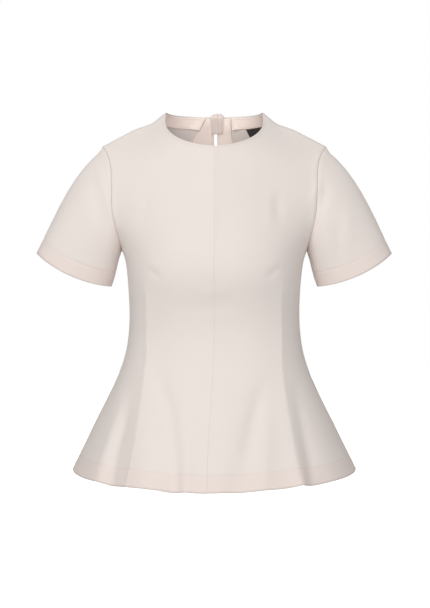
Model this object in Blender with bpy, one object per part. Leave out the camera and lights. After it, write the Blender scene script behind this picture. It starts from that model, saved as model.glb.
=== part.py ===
"""Short-sleeved peplum top in crepe jersey, filled out as if worn, with a tie over a slit at the back neck.

The front faces -Y, +X is the wearer's left, and the origin lies between the two points where the
shoulder seams meet the neck, at their height. Every length is in metres.
"""
import math

import bpy
import numpy as np
from mathutils import Vector
from mathutils.bvhtree import BVHTree
from mathutils.interpolate import poly_3d_calc

# Cloth
CLOTH = 0.0016
FACING_CLOTH = 0.0011
LABEL_CLOTH = 0.0008
SEAM_GAP = 0.0003
LAYER_GAP = 0.0011
HEM_TURN = 0.027
HEM_EXTRA = 0.0012
CUFF_TURN = 0.024
TURN_STEP = 0.002

# Heights of the main lines, from the neck points down
HEM_SIDE = -0.569
HEM_CENTRE = -0.578
UNDERARM = -0.222
CHEST_LINE = -0.214

# How finely each panel is divided
SKIRT_ROWS = 13
ARM_ROWS = 18
FRONT_CENTRE_ROWS = 9
BACK_CENTRE_ROWS = 10
DART_COLUMN = 7
COLUMNS = 13
SLEEVE_ROWS = 8
DENSE = 241
FIRST_SKIRT_ROW = 0.016
ROW_CROWDING = 1.3
ARM_STRAIGHTENING = 1.15
DART_SHARES = (0.30, 0.72)

# The body, section by section: height, half width at the side seams, depth at the centre front and
# at the centre back, and how square each section is (2 is an ellipse)
SECTIONS = (
    # height, half width, front, back, squareness
    (-0.578, 0.2320, 0.196, 0.192, 2.05),
    (-0.569, 0.2280, 0.192, 0.189, 2.05),
    (-0.543, 0.2150, 0.181, 0.178, 2.05),
    (-0.518, 0.2020, 0.169, 0.167, 2.08),
    (-0.492, 0.1900, 0.157, 0.156, 2.12),
    (-0.467, 0.1770, 0.145, 0.144, 2.18),
    (-0.441, 0.1640, 0.133, 0.131, 2.22),
    (-0.415, 0.1520, 0.122, 0.118, 2.28),
    (-0.390, 0.1430, 0.113, 0.105, 2.32),
    (-0.364, 0.1380, 0.107, 0.095, 2.35),
    (-0.330, 0.1350, 0.106, 0.089, 2.38),
    (-0.294, 0.1360, 0.113, 0.090, 2.38),
    (-0.256, 0.1390, 0.123, 0.095, 2.36),
    (-0.243, 0.1398, 0.1235, 0.097, 2.35),
    (-0.222, 0.1410, 0.1210, 0.100, 2.34),
    (-0.185, 0.1450, 0.1150, 0.103, 2.34),
    (-0.145, 0.1510, 0.1060, 0.104, 2.34),
    (-0.100, 0.1570, 0.0920, 0.099, 2.34),
    (-0.055, 0.1640, 0.0740, 0.087, 2.34),
    (-0.030, 0.1680, 0.0660, 0.077, 2.34),
    (-0.005, 0.1720, 0.0600, 0.064, 2.34),
)

# Just below the underarm the side seams flare out to meet the sleeves
UNDERARM_FLARE = 0.0060
UNDERARM_FLARE_FADE = 0.009

# The centre-front seam drifts towards the wearer's right on the skirt: height, place
CENTRE_DRIFT = ((-0.578, -0.0110), (-0.510, -0.0095), (-0.450, -0.0050), (-0.390, -0.0015), (-0.330, 0.0))

# The neckline, from the centre to the neck point at the shoulder seam: place across, depth, height
FRONT_NECKLINE = (
    (0.0000, -0.0740, -0.0550),
    (0.0280, -0.0700, -0.0515),
    (0.0540, -0.0560, -0.0430),
    (0.0720, -0.0340, -0.0300),
    (0.0785, -0.0130, -0.0150),
    (0.0765, 0.0000, 0.0000),
)
BACK_NECKLINE = (
    (0.0000, 0.0640, -0.0050),
    (0.0270, 0.0600, -0.0048),
    (0.0510, 0.0480, -0.0040),
    (0.0690, 0.0280, -0.0025),
    (0.0765, 0.0000, 0.0000),
)

# The armhole, from the underarm to the shoulder tip: place across, depth, height
FRONT_ARMHOLE = (
    (0.1470, 0.0000, -0.2220),
    (0.1490, -0.0240, -0.2090),
    (0.1550, -0.0400, -0.1850),
    (0.1600, -0.0450, -0.1600),
    (0.1620, -0.0420, -0.1200),
    (0.1640, -0.0290, -0.0850),
    (0.1700, -0.0140, -0.0650),
    (0.1780, 0.0000, -0.0540),
)
BACK_ARMHOLE = (
    (0.1470, 0.0000, -0.2220),
    (0.1490, 0.0270, -0.2110),
    (0.1540, 0.0450, -0.1880),
    (0.1600, 0.0520, -0.1600),
    (0.1650, 0.0490, -0.1200),
    (0.1680, 0.0350, -0.0850),
    (0.1725, 0.0170, -0.0640),
    (0.1780, 0.0000, -0.0540),
)

# The shoulder seam dips where the neck rises out of it
NECK_RISE_DIP = 0.0050
NECK_RISE_PLACE = 0.24
NECK_RISE_FROM = 0.72
NECK_RISE_HALF = 0.16
NECK_RISE_ENDS = (0.12, 0.30)
FLUTE_SIDE_FADE = 0.045
FLARE_START = 0.60

# The sleeve: the cuff ring's outer and inner corner as place across and height, and its other sizes
CUFF_OUTER = (0.2840, -0.2230)
CUFF_INNER = (0.1640, -0.2770)
CUFF_HALF_DEPTH = 0.043
CUFF_BACKSET = 0.003
CUFF_SAG = 0.009
SLEEVE_HEAD = (0.80, -0.60)
SLEEVE_UNDER = (0.38, -0.92)
SLEEVE_FALL = (0.44, -0.90)
SLEEVE_PUFF = 0.14

# The long dart of each front: its distance from the centre, by height
DART_LINE = (
    (-0.578, 0.134),
    (-0.515, 0.121),
    (-0.452, 0.110),
    (-0.391, 0.1035),
    (-0.330, 0.1030),
    (-0.250, 0.1110),
)

# Flutes of the skirt. Each grows from its top to the hem: height of its top, place across there and
# at the hem, half width at the hem, and how far it stands out there (less than 0 is a hollow)
FRONT_FLUTES = (
    # top, across at top, across at hem, half width, rise
    (-0.340, 0.1030, 0.1340, 0.026, 0.0080),
    (-0.390, 0.1220, 0.1560, 0.026, -0.0085),
    (-0.385, 0.0860, 0.0360, 0.032, -0.0080),
    (-0.350, -0.0060, -0.0240, 0.020, -0.0045),
    (-0.380, -0.0200, -0.0420, 0.022, 0.0030),
    (-0.375, -0.0920, -0.0640, 0.026, -0.0060),
    (-0.360, -0.1050, -0.1060, 0.034, 0.0060),
    (-0.400, -0.1270, -0.1540, 0.024, -0.0070),
    (-0.400, -0.1340, -0.1840, 0.026, 0.0060),
)
BACK_FLUTES = (
    # top, across at top, across at hem, half width, rise
    (-0.350, 0.0850, 0.1120, 0.032, 0.0085),
    (-0.380, 0.1120, 0.1560, 0.028, -0.0080),
    (-0.370, 0.0560, 0.0560, 0.032, -0.0085),
    (-0.360, -0.0060, -0.0120, 0.030, 0.0055),
    (-0.385, -0.0480, -0.0680, 0.030, -0.0080),
    (-0.350, -0.0880, -0.1200, 0.032, 0.0080),
    (-0.395, -0.1160, -0.1620, 0.028, -0.0080),
)
FLUTE_TOP_WIDTH = 0.40
FLUTE_GROWTH = 1.35

# The slit of the centre back: half width by height, and how far its middle lies from the centre
SLIT = ((-0.100, 0.0), (-0.078, 0.0020), (-0.050, 0.0031), (-0.028, 0.0029), (-0.005, 0.0024))
SLIT_SHIFT = ((-0.130, 0.0), (-0.090, 0.0019), (-0.005, 0.0019))

# The facings and the label, on the inside of the back
NECK_FACING_TOP = 0.0012
NECK_FACING_HEIGHT = 0.0205
NECK_FACING_END = 0.0040
FACING_SIDE_GAP = 0.0030
# Outer edge of each slit facing: height, distance from the centre
SLIT_FACING_RIGHT = (
    (-0.120, 0.012),
    (-0.112, 0.025),
    (-0.090, 0.037),
    (-0.065, 0.040),
    (-0.045, 0.036),
    (-0.025, 0.022),
    (-0.005, 0.011),
)
SLIT_FACING_LEFT = (
    (-0.120, 0.012),
    (-0.112, 0.021),
    (-0.090, 0.029),
    (-0.065, 0.031),
    (-0.045, 0.029),
    (-0.025, 0.027),
    (-0.005, 0.025),
)
SLIT_FACING_HEIGHTS = (-0.0078, -0.015, -0.025, -0.037, -0.050, -0.065, -0.080, -0.095, -0.110, -0.118)
LABEL_PLACE = 0.58
LABEL_STEP = 0.05
LABEL_TOP = 0.0215
LABEL_WIDTH = 0.042
LABEL_HEIGHT = 0.026

# The tie: its knot wraps the top of the slit
KNOT_ACROSS = 0.0047
KNOT_WIDTH = 0.0205
KNOT_PLEATS = 4
KNOT_PLEAT = 0.0006
KNOT_LEG = -0.032
KNOT_SHOULDER = -0.0068
KNOT_ARCH = 0.0034
KNOT_THICK = 0.0030
KNOT_BODY = 0.0050
KNOT_TURN = 0.18
KNOT_EDGE = 0.0008
KNOT_CLEAR = 0.0014
KNOT_INSIDE_CLEAR = 0.0034
SLIT_CLEAR = 0.0045
BACK_GUESS = 0.064
FAR_BEHIND = 0.4
TINY = 1e-12
TIE_END_WIDTH = 0.0135
TIE_END_LENGTH = 0.120
TIE_END_START = {"left": 0.0080, "right": 0.0128}
TIE_END_SPREAD = 0.0170
TIE_END_THICK = 0.0022
TIE_END_THINNING = 0.6
TIE_END_CLEAR = 0.0012
TIE_END_GAP = 0.0003

BLUSH = (0.79, 0.71, 0.66)
BLUSH_INSIDE = (0.77, 0.68, 0.63)
LABEL_BLACK = (0.035, 0.031, 0.030)
CREPE_ROUGHNESS = 0.86
INSIDE_ROUGHNESS = 0.90
LABEL_ROUGHNESS = 0.70


def unit(vectors):
    """Vectors of length one."""
    return vectors / np.maximum(np.linalg.norm(vectors, axis=-1, keepdims=True), TINY)


def smooth(value, rows, column=1):
    """A column of a table at a height, on the smooth curve through the table's rows."""
    table = np.array(rows, float)
    places = table[:, 0]
    marks = table[:, column]
    slopes = np.gradient(marks, places)
    value = np.clip(value, places[0], places[-1])
    low = np.clip(np.searchsorted(places, value) - 1, 0, len(places) - 2)
    span = places[low + 1] - places[low]
    t = (value - places[low]) / span
    return (
        (2 * t**3 - 3 * t**2 + 1) * marks[low]
        + (t**3 - 2 * t**2 + t) * span * slopes[low]
        + (3 * t**2 - 2 * t**3) * marks[low + 1]
        + (t**3 - t**2) * span * slopes[low + 1]
    )


def at_fractions(curve, fractions):
    """Points at fractions of a curve's length."""
    steps = np.linalg.norm(np.diff(curve, axis=0), axis=1)
    lengths = np.concatenate([[0.0], np.cumsum(steps)])
    targets = np.asarray(fractions) * lengths[-1]
    return np.stack([np.interp(targets, lengths, curve[:, k]) for k in range(3)], axis=1)


def smooth_path(marks, fractions):
    """Points at fractions of the length of the smooth curve through a table's points."""
    marks = np.array(marks, float)
    steps = np.linalg.norm(np.diff(marks, axis=0), axis=1)
    knots = np.concatenate([[0.0], np.cumsum(steps)])
    along = np.linspace(0.0, knots[-1], DENSE)
    curve = np.stack(
        [smooth(along, np.column_stack([knots, marks[:, k]])) for k in range(3)], axis=1
    )
    return at_fractions(curve, fractions)


def profile_normals(points, first, second, outward):
    """Normals of a seam that lies in the plane of two axes, so that both of its pieces share them."""
    run = np.gradient(points, axis=0)
    normals = np.zeros_like(points)
    normals[:, first] = -run[:, second]
    normals[:, second] = run[:, first]
    normals = unit(normals)
    return normals * np.sign(normals[:, outward[0]] * outward[1]).mean().round()


def grid_normals(points, wrap=False):
    """Normals of a grid of points, from its rows and columns."""
    along = np.gradient(points, axis=0)
    if wrap:
        across = (np.roll(points, -1, axis=1) - np.roll(points, 1, axis=1)) / 2
    else:
        across = np.gradient(points, axis=1)
    return unit(np.cross(across, along))


def skirt_heights():
    """Heights of the rows above the hem's edge, with a pair of rows at the turned hem's step."""
    tall = UNDERARM - HEM_SIDE
    start = HEM_TURN + TURN_STEP + FIRST_SKIRT_ROW
    fractions = np.linspace(0.0, 1.0, SKIRT_ROWS)
    rest = start + (tall - start) * (1 - (1 - fractions) ** ROW_CROWDING)
    return np.concatenate([[0.0, HEM_TURN, HEM_TURN + TURN_STEP], rest])


def centre_of(face, height):
    """Where the centre seam runs: its place across."""
    if face < 0:
        return smooth(height, CENTRE_DRIFT)
    return smooth(height, SLIT_SHIFT)


def slit_half(height):
    """Half the slit's width at a height."""
    return np.where(height > SLIT[0][0], smooth(height, SLIT), 0.0)


def panel_lines(side, face):
    """Inner line (centre seam, then neckline) and outer line (side seam, then armhole) of a panel."""
    rises = skirt_heights()
    share = rises / rises[-1]
    outer_z = HEM_SIDE + rises
    inner_z = outer_z + (HEM_CENTRE - HEM_SIDE) * (1 - share) + (CHEST_LINE - UNDERARM) * share
    neckline = FRONT_NECKLINE if face < 0 else BACK_NECKLINE
    armhole = FRONT_ARMHOLE if face < 0 else BACK_ARMHOLE
    centre_rows = FRONT_CENTRE_ROWS if face < 0 else BACK_CENTRE_ROWS
    inner_z = np.concatenate([inner_z, np.linspace(CHEST_LINE, neckline[0][2], centre_rows + 1)[1:]])
    depth = smooth(inner_z, SECTIONS, 2 if face < 0 else 3)
    centre = np.stack([centre_of(face, inner_z), face * depth, inner_z], axis=1)
    neck_rows = ARM_ROWS - centre_rows
    neck = smooth_path(neckline, np.linspace(0.0, 1.0, neck_rows + 1))
    neck[:, 0] = side * neck[:, 0]
    if face > 0:
        centre[:, 0] = centre[:, 0] + side * slit_half(inner_z)
        start = centre[-1, 0]
        fade = np.linspace(1.0, 0.0, neck_rows + 1)
        neck[:, 0] = neck[:, 0] + start * fade
    centre[-1] = [centre[-1, 0], neck[0, 1], neck[0, 2]]
    inner = np.concatenate([centre, neck[1:]])
    width = smooth(outer_z, SECTIONS, 1)
    width = width + UNDERARM_FLARE * np.exp((outer_z - UNDERARM) / UNDERARM_FLARE_FADE)
    seam = np.stack([side * width, np.zeros_like(width), outer_z], axis=1)
    arm = smooth_path(armhole, np.linspace(0.0, 1.0, ARM_ROWS + 1))
    arm[:, 0] = side * arm[:, 0]
    outer = np.concatenate([seam, arm[1:]])
    return inner, outer, len(centre) - 1


def row_points(inner, outer, width, square, straight):
    """One row of a panel, a dense curve from its inner to its outer line, which it flares out to meet."""
    turn = np.linspace(0.0, math.pi / 2, DENSE)
    across = np.sin(turn) ** (2 / square)
    back = 1 - np.cos(turn) ** (2 / square)
    even = turn / turn[-1]
    across = across + (even - across) * straight
    back = back + (even - back) * straight
    curve = np.zeros((DENSE, 3))
    side = np.sign(outer[0])
    flare = np.abs(outer[0]) - width
    curve[:, 0] = inner[0] + (side * width - inner[0]) * across
    curve[:, 0] = curve[:, 0] + side * flare * smoothstep((even - FLARE_START) / (1 - FLARE_START))
    curve[:, 1] = inner[1] + (outer[1] - inner[1]) * back
    steps = np.linalg.norm(np.diff(curve, axis=0), axis=1)
    share = np.concatenate([[0.0], np.cumsum(steps)]) / steps.sum()
    curve[:, 2] = inner[2] + (outer[2] - inner[2]) * share
    return curve, share


def column_shares(curve, share, height):
    """Where a row's columns lie: one follows the dart, the others are even on each side of it."""
    target = smooth(height, DART_LINE)
    reach = np.abs(curve[:, 0])
    dart = np.interp(target, reach, share)
    dart = min(max(dart, DART_SHARES[0]), DART_SHARES[1])
    inside = np.linspace(0.0, dart, DART_COLUMN + 1)
    outside = np.linspace(dart, 1.0, COLUMNS - DART_COLUMN + 1)[1:]
    return np.concatenate([inside, outside])


def flute_rise(points, flutes):
    """How far the skirt's flutes move each point of a grid out."""
    height = points[..., 2]
    rise = np.zeros(height.shape)
    for top, top_across, hem_across, half_width, out in flutes:
        grown = np.clip((top - height) / (top - HEM_CENTRE), 0.0, 1.0)
        middle = top_across + (hem_across - top_across) * grown
        reach = half_width * (FLUTE_TOP_WIDTH + (1 - FLUTE_TOP_WIDTH) * grown)
        away = np.clip(np.abs(points[..., 0] - middle) / reach, 0.0, 1.0)
        rise = rise + out * grown**FLUTE_GROWTH * 0.5 * (1 + np.cos(math.pi * away))
    return rise


def smoothstep(value):
    """An even start and stop between 0 and 1."""
    value = np.clip(value, 0.0, 1.0)
    return value * value * (3 - 2 * value)


def seam_normals(points, face):
    """A panel's normals, with those on its seams taken from the seams alone."""
    normals = grid_normals(points)
    middle = points.reshape(-1, 3).mean(axis=0)
    facing = np.array([np.sign(middle[0]), face, 0.0])
    normals = normals * np.sign((normals * facing).sum(axis=2).mean())
    last_seam = len(skirt_heights()) - 1
    centre_rows = FRONT_CENTRE_ROWS if face < 0 else BACK_CENTRE_ROWS
    top = last_seam + centre_rows
    normals[: top + 1, 0] = profile_normals(points[: top + 1, 0], 1, 2, (1, face))
    side = np.sign(middle[0])
    normals[: last_seam + 1, -1] = profile_normals(points[: last_seam + 1, -1], 0, 2, (0, side))
    normals[-1] = profile_normals(points[-1], 0, 2, (2, 1))
    return normals


def panel_grid(side, face):
    """A panel's outer points, row by row from the hem to the shoulder seam."""
    inner, outer, _ = panel_lines(side, face)
    seam_rows = len(skirt_heights())
    rows = []
    for index, (start, end) in enumerate(zip(inner, outer)):
        square = float(smooth(end[2], SECTIONS, 4))
        climb = max(0, index - seam_rows + 1) / ARM_ROWS
        straight = climb**ARM_STRAIGHTENING
        width = float(smooth(end[2], SECTIONS, 1))
        curve, share = row_points(start, end, width, square, straight)
        lift = smoothstep((climb - NECK_RISE_FROM) / (1 - NECK_RISE_FROM))
        dip = NECK_RISE_DIP * np.exp(-(((share - NECK_RISE_PLACE) / NECK_RISE_HALF) ** 2))
        ends = smoothstep(share / NECK_RISE_ENDS[0]) * smoothstep((1 - share) / NECK_RISE_ENDS[1])
        curve[:, 2] = curve[:, 2] - dip * lift * ends
        shares = column_shares(curve, share, end[2])
        rows.append(at_fractions(curve, shares))
    points = np.array(rows)
    flutes = FRONT_FLUTES if face < 0 else BACK_FLUTES
    from_side = np.abs(points - points[:, -1:]).sum(axis=2)
    rise = flute_rise(points, flutes) * smoothstep(from_side / FLUTE_SIDE_FADE)
    return points + seam_normals(points, face) * rise[..., None]


def armhole_loop(front, back):
    """The armhole's points, from the underarm up the front, over the shoulder and down the back."""
    first = len(skirt_heights()) - 1
    return np.concatenate([front[first:, -1], back[first:-1, -1][::-1][: ARM_ROWS - 1]])


def sleeve_grid(loop, side):
    """A sleeve's outer points, ring by ring from the armhole to the cuff."""
    count = len(loop)
    turn = 2 * math.pi * np.arange(count) / count
    high = (1 - np.cos(turn)) / 2
    ahead = -np.sin(turn)
    outer = np.array([CUFF_OUTER[0], 0.0, CUFF_OUTER[1]])
    inner = np.array([CUFF_INNER[0], 0.0, CUFF_INNER[1]])
    cuff = inner + (outer - inner) * high[:, None]
    cuff[:, 1] = CUFF_BACKSET + CUFF_HALF_DEPTH * ahead
    fall = unit(np.array([SLEEVE_FALL[0], 0.0, SLEEVE_FALL[1]]))
    cuff = cuff + fall * (CUFF_SAG * np.sin(turn)[:, None] ** 2)
    head = np.array([SLEEVE_HEAD[0], 0.0, SLEEVE_HEAD[1]])
    under = np.array([SLEEVE_UNDER[0], 0.0, SLEEVE_UNDER[1]])
    leave = under + (head - under) * high[:, None]
    leave[:, 1] = SLEEVE_PUFF * ahead
    mirror = np.array([side, 1.0, 1.0])
    chord = cuff * mirror - loop
    reach = np.linalg.norm(chord, axis=1, keepdims=True)
    leave = unit(leave) * mirror * reach
    arrive = fall * mirror * reach
    turned = CUFF_TURN / reach.mean()
    step = TURN_STEP / reach.mean()
    rings = np.concatenate([np.linspace(0.0, 1 - turned - step, SLEEVE_ROWS), [1 - turned, 1.0]])
    points = []
    for t in rings:
        ring = (
            (2 * t**3 - 3 * t**2 + 1) * loop
            + (t**3 - 2 * t**2 + t) * leave
            + (3 * t**2 - 2 * t**3) * cuff * mirror
            + (t**3 - t**2) * arrive
        )
        points.append(ring)
    return np.array(points)


def make_material(name, colour, roughness):
    """A plain cloth material."""
    material = bpy.data.materials.new(name)
    material.use_nodes = True
    shader = material.node_tree.nodes["Principled BSDF"]
    shader.inputs["Base Color"].default_value = (*colour, 1.0)
    shader.inputs["Roughness"].default_value = roughness
    shader.inputs["Metallic"].default_value = 0.0
    material.diffuse_color = (*colour, 1.0)
    return material


def wall_faces(rows, columns, wrap):
    """Faces of a closed wall whose outer and inner skins are grids of the same size."""
    skin = rows * columns
    last = columns if wrap else columns - 1
    faces = []
    for row in range(rows - 1):
        for column in range(last):
            following = (column + 1) % columns
            a = row * columns + column
            b = row * columns + following
            c = b + columns
            d = a + columns
            faces += [(a, b, c), (a, c, d)]
            faces += [(c + skin, b + skin, a + skin), (d + skin, c + skin, a + skin)]
    for column in range(last):
        following = (column + 1) % columns
        top = (rows - 1) * columns
        faces.append((following, column, column + skin, following + skin))
        faces.append((top + column, top + following, top + following + skin, top + column + skin))
    if not wrap:
        for row in range(rows - 1):
            a = row * columns
            b = a + columns
            faces.append((a, b, b + skin, a + skin))
            a = a + columns - 1
            b = b + columns - 1
            faces.append((b, a, a + skin, b + skin))
    return faces


def make_wall(name, outer, inner, material, wrap=False):
    """A closed wall between two grids of points."""
    rows, columns = outer.shape[:2]
    points = np.concatenate([outer.reshape(-1, 3), inner.reshape(-1, 3)])
    faces = wall_faces(rows, columns, wrap)
    fans = [(face[0], face[k], face[k + 1]) for face in faces for k in range(1, len(face) - 1)]
    corners = points[np.array(fans)]
    if (np.cross(corners[:, 1], corners[:, 2]) * corners[:, 0]).sum() < 0:
        faces = [face[::-1] for face in faces]
    mesh = bpy.data.meshes.new(name)
    mesh.from_pydata([tuple(point) for point in points], [], faces)
    mesh.materials.append(material)
    mesh.shade_smooth()
    mesh.set_sharp_from_angle(angle=math.radians(50))
    obj = bpy.data.objects.new(name, mesh)
    bpy.context.scene.collection.objects.link(obj)
    return obj


def panel_inner(points, normals):
    """A panel's inner points, deeper where the hem is turned up."""
    thick = np.full(points.shape[0], CLOTH)
    thick[:2] = CLOTH + HEM_EXTRA
    return points - normals * thick[:, None, None]


def open_seams(outer, inner, side, face, arm_way):
    """Moves a panel's edges back by half a seam's gap from its neighbours."""
    half = SEAM_GAP / 2
    seam_rows = len(skirt_heights())
    centre_rows = FRONT_CENTRE_ROWS if face < 0 else BACK_CENTRE_ROWS
    for skin in (outer, inner):
        skin[: seam_rows + centre_rows, 0, 0] += side * half
        skin[:seam_rows, -1, 1] += face * half
        skin[-1, :, 1] += face * half
        skin[seam_rows - 1 :, -1] -= arm_way * half
    return outer, inner


def skin_tree(points):
    """A search tree over one skin of a panel, with its faces and corners."""
    rows, columns = points.shape[:2]
    corners = [Vector(point) for point in points.reshape(-1, 3)]
    faces = []
    for row in range(rows - 1):
        for column in range(columns - 1):
            a = row * columns + column
            faces += [(a, a + 1, a + columns + 1), (a, a + columns + 1, a + columns)]
    return BVHTree.FromPolygons(corners, faces), faces, corners


def lay_inside(panel, point, nearest=True):
    """The point of a panel's inner skin at a place or straight behind it, and the smooth normal there."""
    tree, faces, corners, normals = panel
    place = None
    if not nearest:
        place, _, index, _ = tree.ray_cast(Vector((point[0], 0.0, point[2])), Vector((0.0, 1.0, 0.0)))
    if place is None:
        place, _, index, _ = tree.find_nearest(Vector(point))
    face = faces[index]
    weights = poly_3d_calc([corners[k] for k in face], place)
    normal = sum((normals[k] * weight for k, weight in zip(face, weights)), Vector())
    return np.array(place), np.array(normal.normalized())


def layer(panel, places, lift, thick, nearest=True):
    """Two skins of a thin layer that lies on the inside of a panel, over a grid of places."""
    near = np.zeros_like(places)
    far = np.zeros_like(places)
    for index in np.ndindex(places.shape[:2]):
        place, normal = lay_inside(panel, places[index], nearest)
        near[index] = place - normal * lift
        far[index] = place - normal * (lift + thick)
    return near, far


def neck_down(points, normals, first):
    """The neckline of a panel from its centre, and the way down the cloth from each of its points."""
    line = points[first:, 0]
    along = unit(np.gradient(line, axis=0))
    down = unit(np.cross(along, normals[first:, 0]))
    down = down * np.sign(-down[:, 2]).reshape(-1, 1)
    return line, down


def build():
    """Makes every piece of the top."""
    for obj in list(bpy.data.objects):
        bpy.data.objects.remove(obj, do_unlink=True)
    cloth = make_material("crepe_jersey", BLUSH, CREPE_ROUGHNESS)
    inside = make_material("crepe_jersey_inside", BLUSH_INSIDE, INSIDE_ROUGHNESS)
    black = make_material("woven_label", LABEL_BLACK, LABEL_ROUGHNESS)
    first = len(skirt_heights()) - 1
    back_skins = {}
    for side, hand in ((1, "left"), (-1, "right")):
        front = panel_grid(side, -1)
        back = panel_grid(side, 1)
        front_normals = seam_normals(front, -1)
        back_normals = seam_normals(back, 1)
        loop = armhole_loop(front, back)
        sleeve = sleeve_grid(loop, side)
        sleeve_normals = grid_normals(sleeve, wrap=True)
        centre = sleeve.mean(axis=1, keepdims=True)
        sleeve_normals = sleeve_normals * np.sign(((sleeve - centre) * sleeve_normals).sum(axis=2).mean())
        back_edge = back_normals[first:-1, -1][::-1][: ARM_ROWS - 1]
        panel_side = np.concatenate([front_normals[first:, -1], back_edge])
        shared = unit(panel_side + sleeve_normals[0])
        for corner in (0, ARM_ROWS):
            shared[corner, 1] = 0.0
        shared = unit(shared)
        along = unit(np.roll(loop, -1, axis=0) - np.roll(loop, 1, axis=0))
        way = unit(np.cross(shared, along))
        away = sleeve[1] - sleeve[0]
        way = way * np.sign((way * away).sum(axis=1).mean())
        sleeve_normals[0] = shared
        front_normals[first:, -1] = shared[: ARM_ROWS + 1]
        back_way = np.concatenate([[0], np.arange(2 * ARM_ROWS - 1, ARM_ROWS - 1, -1)])
        back_normals[first:, -1] = shared[back_way]
        thick = np.full(len(sleeve), CLOTH)
        thick[-2:] = CLOTH + HEM_EXTRA
        sleeve_inner = sleeve - sleeve_normals * thick[:, None, None]
        sleeve[0] += way * SEAM_GAP / 2
        sleeve_inner[0] += way * SEAM_GAP / 2
        make_wall("sleeve_" + hand, sleeve, sleeve_inner, cloth, wrap=True)
        for name, face, grid, normals, order in (
            ("front_", -1, front, front_normals, np.arange(ARM_ROWS + 1)),
            ("back_", 1, back, back_normals, back_way),
        ):
            outer, inner = open_seams(grid.copy(), panel_inner(grid, normals), side, face, way[order])
            make_wall(name + hand, outer, inner, cloth)
            if face > 0:
                listed = [Vector(normal) for normal in normals.reshape(-1, 3)]
                back_skins[side] = ((*skin_tree(inner), listed), inner, normals, skin_tree(outer)[0])
    make_facings(back_skins, inside, black)
    make_tie(back_skins, cloth)


def facing_edge(side, height):
    """How far from the centre a slit facing reaches at a height."""
    return smooth(height, SLIT_FACING_LEFT if side > 0 else SLIT_FACING_RIGHT)


def make_facings(back_skins, inside, black):
    """The facings of the back neck and of the slit, and the label."""
    first = len(skirt_heights()) - 1 + BACK_CENTRE_ROWS
    for side, hand in ((1, "left"), (-1, "right")):
        panel, inner, normals, _ = back_skins[side]
        line, down = neck_down(inner, normals, first)
        depths = np.linspace(NECK_FACING_TOP, NECK_FACING_HEIGHT, 4)
        rows = []
        for depth in depths:
            guess = at_fractions(line + down * depth, np.linspace(0.0, 1.0, DENSE))
            clear = facing_edge(side, guess[:, 2]) + FACING_SIDE_GAP
            kept = (np.abs(guess[:, 0]) > clear) & (guess[:, 1] > NECK_FACING_END)
            rows.append(at_fractions(guess[kept], np.linspace(0.0, 1.0, 15)))
        near, far = layer(panel, np.array(rows), LAYER_GAP, FACING_CLOTH)
        make_wall("neck_facing_" + hand, near, far, inside)
        rows = []
        for height in SLIT_FACING_HEIGHTS:
            middle = centre_of(1, height)
            low = side * middle + slit_half(height) + SEAM_GAP
            edges = np.linspace(low, facing_edge(side, height), 6)
            rows.append([(side * edge, BACK_GUESS, height) for edge in edges])
        near, far = layer(panel, np.array(rows), LAYER_GAP, FACING_CLOTH, nearest=False)
        make_wall("slit_facing_" + hand, near, far, inside)
    make_label(back_skins, black)


def make_label(back_skins, black):
    """The bare label below the neck facing, on the inside of the wearer's left back."""
    first = len(skirt_heights()) - 1 + BACK_CENTRE_ROWS
    panel, inner, normals, _ = back_skins[1]
    line, down = neck_down(inner, normals, first)
    anchor = at_fractions(line, [LABEL_PLACE])[0]
    way_down = unit(at_fractions(down, [LABEL_PLACE])[0])
    ahead = unit(at_fractions(line, [LABEL_PLACE + LABEL_STEP])[0] - anchor)
    rows = []
    for drop in np.linspace(LABEL_TOP, LABEL_TOP + LABEL_HEIGHT, 7):
        runs = np.linspace(-0.5, 0.5, 9) * LABEL_WIDTH
        rows.append([anchor + way_down * drop + ahead * run for run in runs])
    near, far = layer(panel, np.array(rows), LAYER_GAP, LABEL_CLOTH)
    make_wall("label", near, far, black)


def back_depth(back_skins, across, height, inner_skin):
    """How deep the inner or outer skin of the back lies at a place, measured beside the slit."""
    middle = float(centre_of(1, height))
    side = 1 if across >= middle else -1
    across = middle + side * max(abs(across - middle), SLIT_CLEAR)
    panel, _, _, outside = back_skins[side]
    if inner_skin:
        place = panel[0].ray_cast(Vector((across, 0.0, height)), Vector((0.0, 1.0, 0.0)))[0]
    else:
        place = outside.ray_cast(Vector((across, FAR_BEHIND, height)), Vector((0.0, -1.0, 0.0)))[0]
    return place.y


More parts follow.
